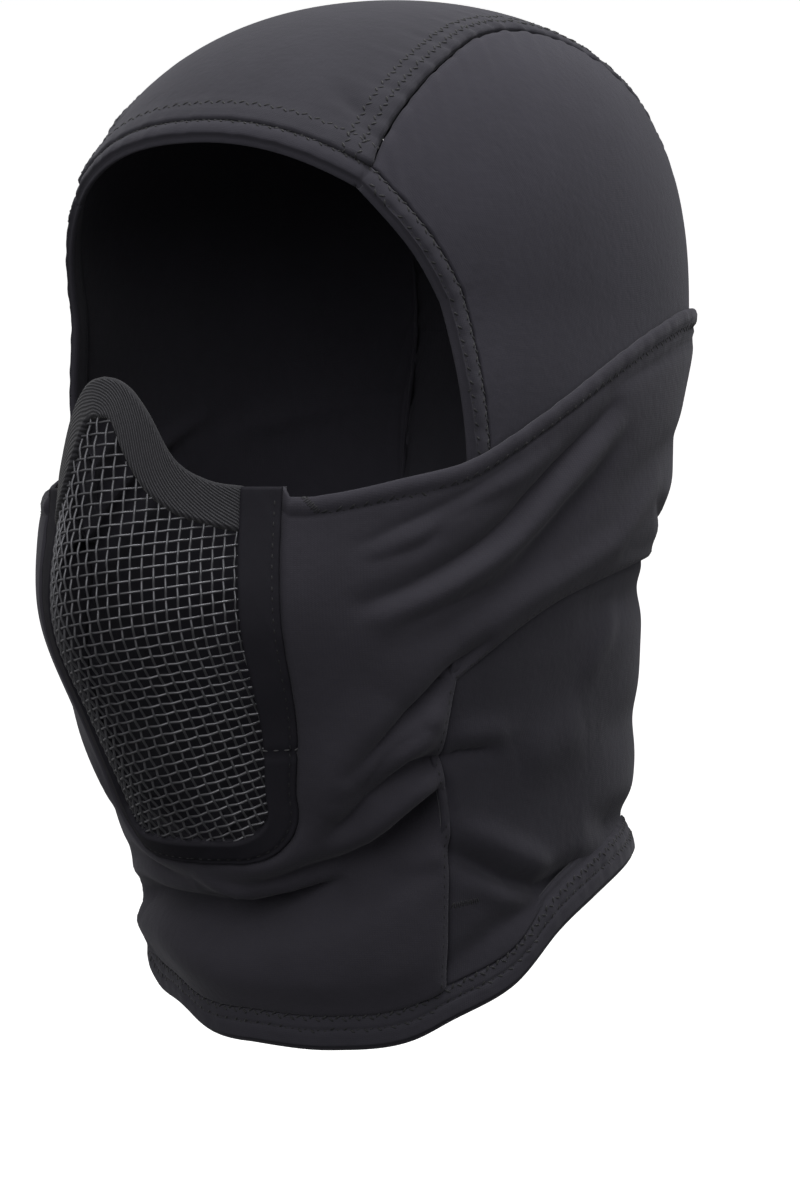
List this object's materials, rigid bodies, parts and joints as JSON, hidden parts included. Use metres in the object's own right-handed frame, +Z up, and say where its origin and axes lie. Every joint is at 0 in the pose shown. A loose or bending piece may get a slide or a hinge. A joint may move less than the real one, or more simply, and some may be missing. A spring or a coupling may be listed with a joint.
{
  "type": "mesh face mask",
  "caption": "Close-fitting stretch cloth hood with an eye opening and a face panel that carries a domed wire mesh mask with nose webbing and binding.",
  "frame": {"origin": "mount crown_seat: the middle of the crown panel's inner face, where the hood sits on the crown of the head", "axes": "+Z up, -Y the way the face looks, +X towards the wearer's left"},
  "size_m": [0.1596, 0.237, 0.2855],
  "materials": {
    "crown_panel": "thin charcoal stretch knit",
    "side_panel_left": "thin charcoal stretch knit",
    "side_panel_right": "thin charcoal stretch knit",
    "opening_hem": "folded edge of the same stretch knit, with two rows of stitches",
    "face_panel": "soft black stretch knit",
    "mesh_binding": "smooth woven black binding",
    "nose_webbing": "ribbed black webbing",
    "face_mesh": "woven steel wire, black satin coating",
    "neck_hem": "turned-up edge of the stretch knit, with two rows of stitches"
  },
  "bodies": {
    "root": {"crown_panel": "crown_panel", "side_panel_left": "side_panel_left", "side_panel_right": "side_panel_right", "opening_hem": "opening_hem", "face_panel": "face_panel", "mesh_binding": "mesh_binding", "nose_webbing": "nose_webbing", "face_mesh": "face_mesh", "neck_hem": "neck_hem"}
  },
  "joints": []
}
